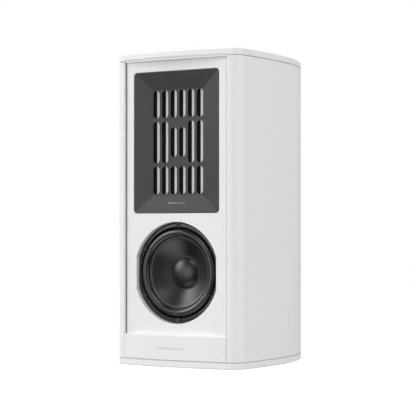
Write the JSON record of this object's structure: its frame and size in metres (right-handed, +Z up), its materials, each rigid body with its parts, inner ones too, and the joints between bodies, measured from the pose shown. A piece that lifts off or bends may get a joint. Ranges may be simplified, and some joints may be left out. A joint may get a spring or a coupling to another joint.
{
  "type": "bookshelf speaker",
  "caption": "Compact white bookshelf speaker with a bowed front, tapering sides, a slotted planar driver above a cone woofer, rear port and binding posts.",
  "frame": {"origin": "middle of the footprint, on the underside of the bottom plate", "axes": "+Z up, the drivers face -Y, +X to the right when facing the front from -Y"},
  "size_m": [0.21, 0.2802, 0.44],
  "materials": {
    "white_lacquer": "satin white lacquer on fibreboard",
    "black_cast": "black painted casting",
    "dark_metal": "dark anodised, fine matt grain",
    "black_steel": "black oxide",
    "black_plastic": "fine moulded grain",
    "foil": "bright embossed foil",
    "ferrite": "ground ferrite",
    "neodymium": "nickel plated",
    "black_rubber": "moulded rubber, satin",
    "cone_paper": "coated cone, satin",
    "cap_gloss": "glossy dome",
    "zinc_steel": "zinc plated",
    "brass": "gold plated",
    "copper": "enamelled copper winding",
    "spider_cloth": "resin-treated cotton",
    "kapton": "polyimide film",
    "board_green": "solder mask",
    "capacitor_red": "wrapped film",
    "resistor_white": "cast ceramic",
    "felt": "needled felt",
    "bare_board": "bare fibreboard",
    "red_plastic": "moulded red",
    "knob_black": "moulded black",
    "wire_pvc": "insulation"
  },
  "bodies": {
    "cabinet": {"baffle_battens": "bare_board", "baffle_screws": "black_steel", "board_screws": "zinc_steel", "board_standoffs": "brass", "bottom_plate": "white_lacquer", "cabinet_shell": "white_lacquer", "capacitors": "capacitor_red", "crossover_board": "board_green", "damping_pads": "felt", "driver_faceplate": "dark_metal", "driver_leads": "wire_pvc", "driver_terminals": "brass", "faceplate_gasket": "black_rubber", "foil_clamp": "black_cast", "front_baffle": "white_lacquer", "front_frame": "black_cast", "front_magnets": "neodymium", "front_pole_washer": "zinc_steel", "inductors": "copper", "input_leads": "wire_pvc", "internal_brace": "bare_board", "lower_trim_plate": "white_lacquer", "midrange_foil": "foil", "post_collar_black": "black_plastic", "post_collar_red": "black_plastic", "post_shaft_black": "brass", "post_shaft_red": "brass", "rear_chamber": "black_plastic", "rear_frame": "black_cast", "rear_magnets": "neodymium", "rear_pole_plate": "black_steel", "reflex_port": "black_plastic", "resistors": "resistor_white", "ring_magnet": "ferrite", "side_seal_left": "black_rubber", "side_seal_right": "black_rubber", "slotted_grille": "dark_metal", "spider": "spider_cloth", "stand_inserts": "brass", "terminal_plate": "dark_metal", "terminal_screws": "black_steel", "top_plate": "white_lacquer", "tweeter_foil": "foil", "woofer_basket": "black_cast", "woofer_gasket": "black_rubber", "woofer_leads": "wire_pvc", "woofer_screws": "black_steel", "woofer_surround": "black_rubber", "woofer_terminals": "brass", "yoke": "zinc_steel"},
    "cone_assembly": {"woofer_cone": "cone_paper", "dust_cap": "cap_gloss", "voice_coil_former": "kapton", "voice_coil": "copper"},
    "washer_red": {"clamp_washer_red": "brass"},
    "knob_red": {"knob_red": "red_plastic", "knob_insert_red": "brass"},
    "washer_black": {"clamp_washer_black": "brass"},
    "knob_black": {"knob_black": "knob_black", "knob_insert_black": "brass"}
  },
  "joints": [
    {"name": "woofer_stroke", "type": "slide", "parent": "cabinet", "child": "cone_assembly", "axis": [0, -1, 0], "range_m": [-0.005, 0.005], "stiffness_N_per_m": 1400, "deforming": ["woofer_surround", "spider"]},
    {"name": "red_washer_travel", "type": "slide", "parent": "cabinet", "child": "washer_red", "axis": [0, 1, 0], "range_m": [0, 0.005]},
    {"name": "red_knob_turn", "type": "hinge", "parent": "washer_red", "child": "knob_red", "pos_m": [0.019, 0.142, 0.092], "axis": [0, 1, 0], "range_deg": [0, 1800]},
    {"name": "black_washer_travel", "type": "slide", "parent": "cabinet", "child": "washer_black", "axis": [0, 1, 0], "range_m": [0, 0.005]},
    {"name": "black_knob_turn", "type": "hinge", "parent": "washer_black", "child": "knob_black", "pos_m": [-0.019, 0.142, 0.092], "axis": [0, 1, 0], "range_deg": [0, 1800]}
  ],
  "couplings": [
    {"joint": "red_knob_turn", "follows": "red_washer_travel", "rad_per_m": 6283},
    {"joint": "black_knob_turn", "follows": "black_washer_travel", "rad_per_m": 6283}
  ]
}
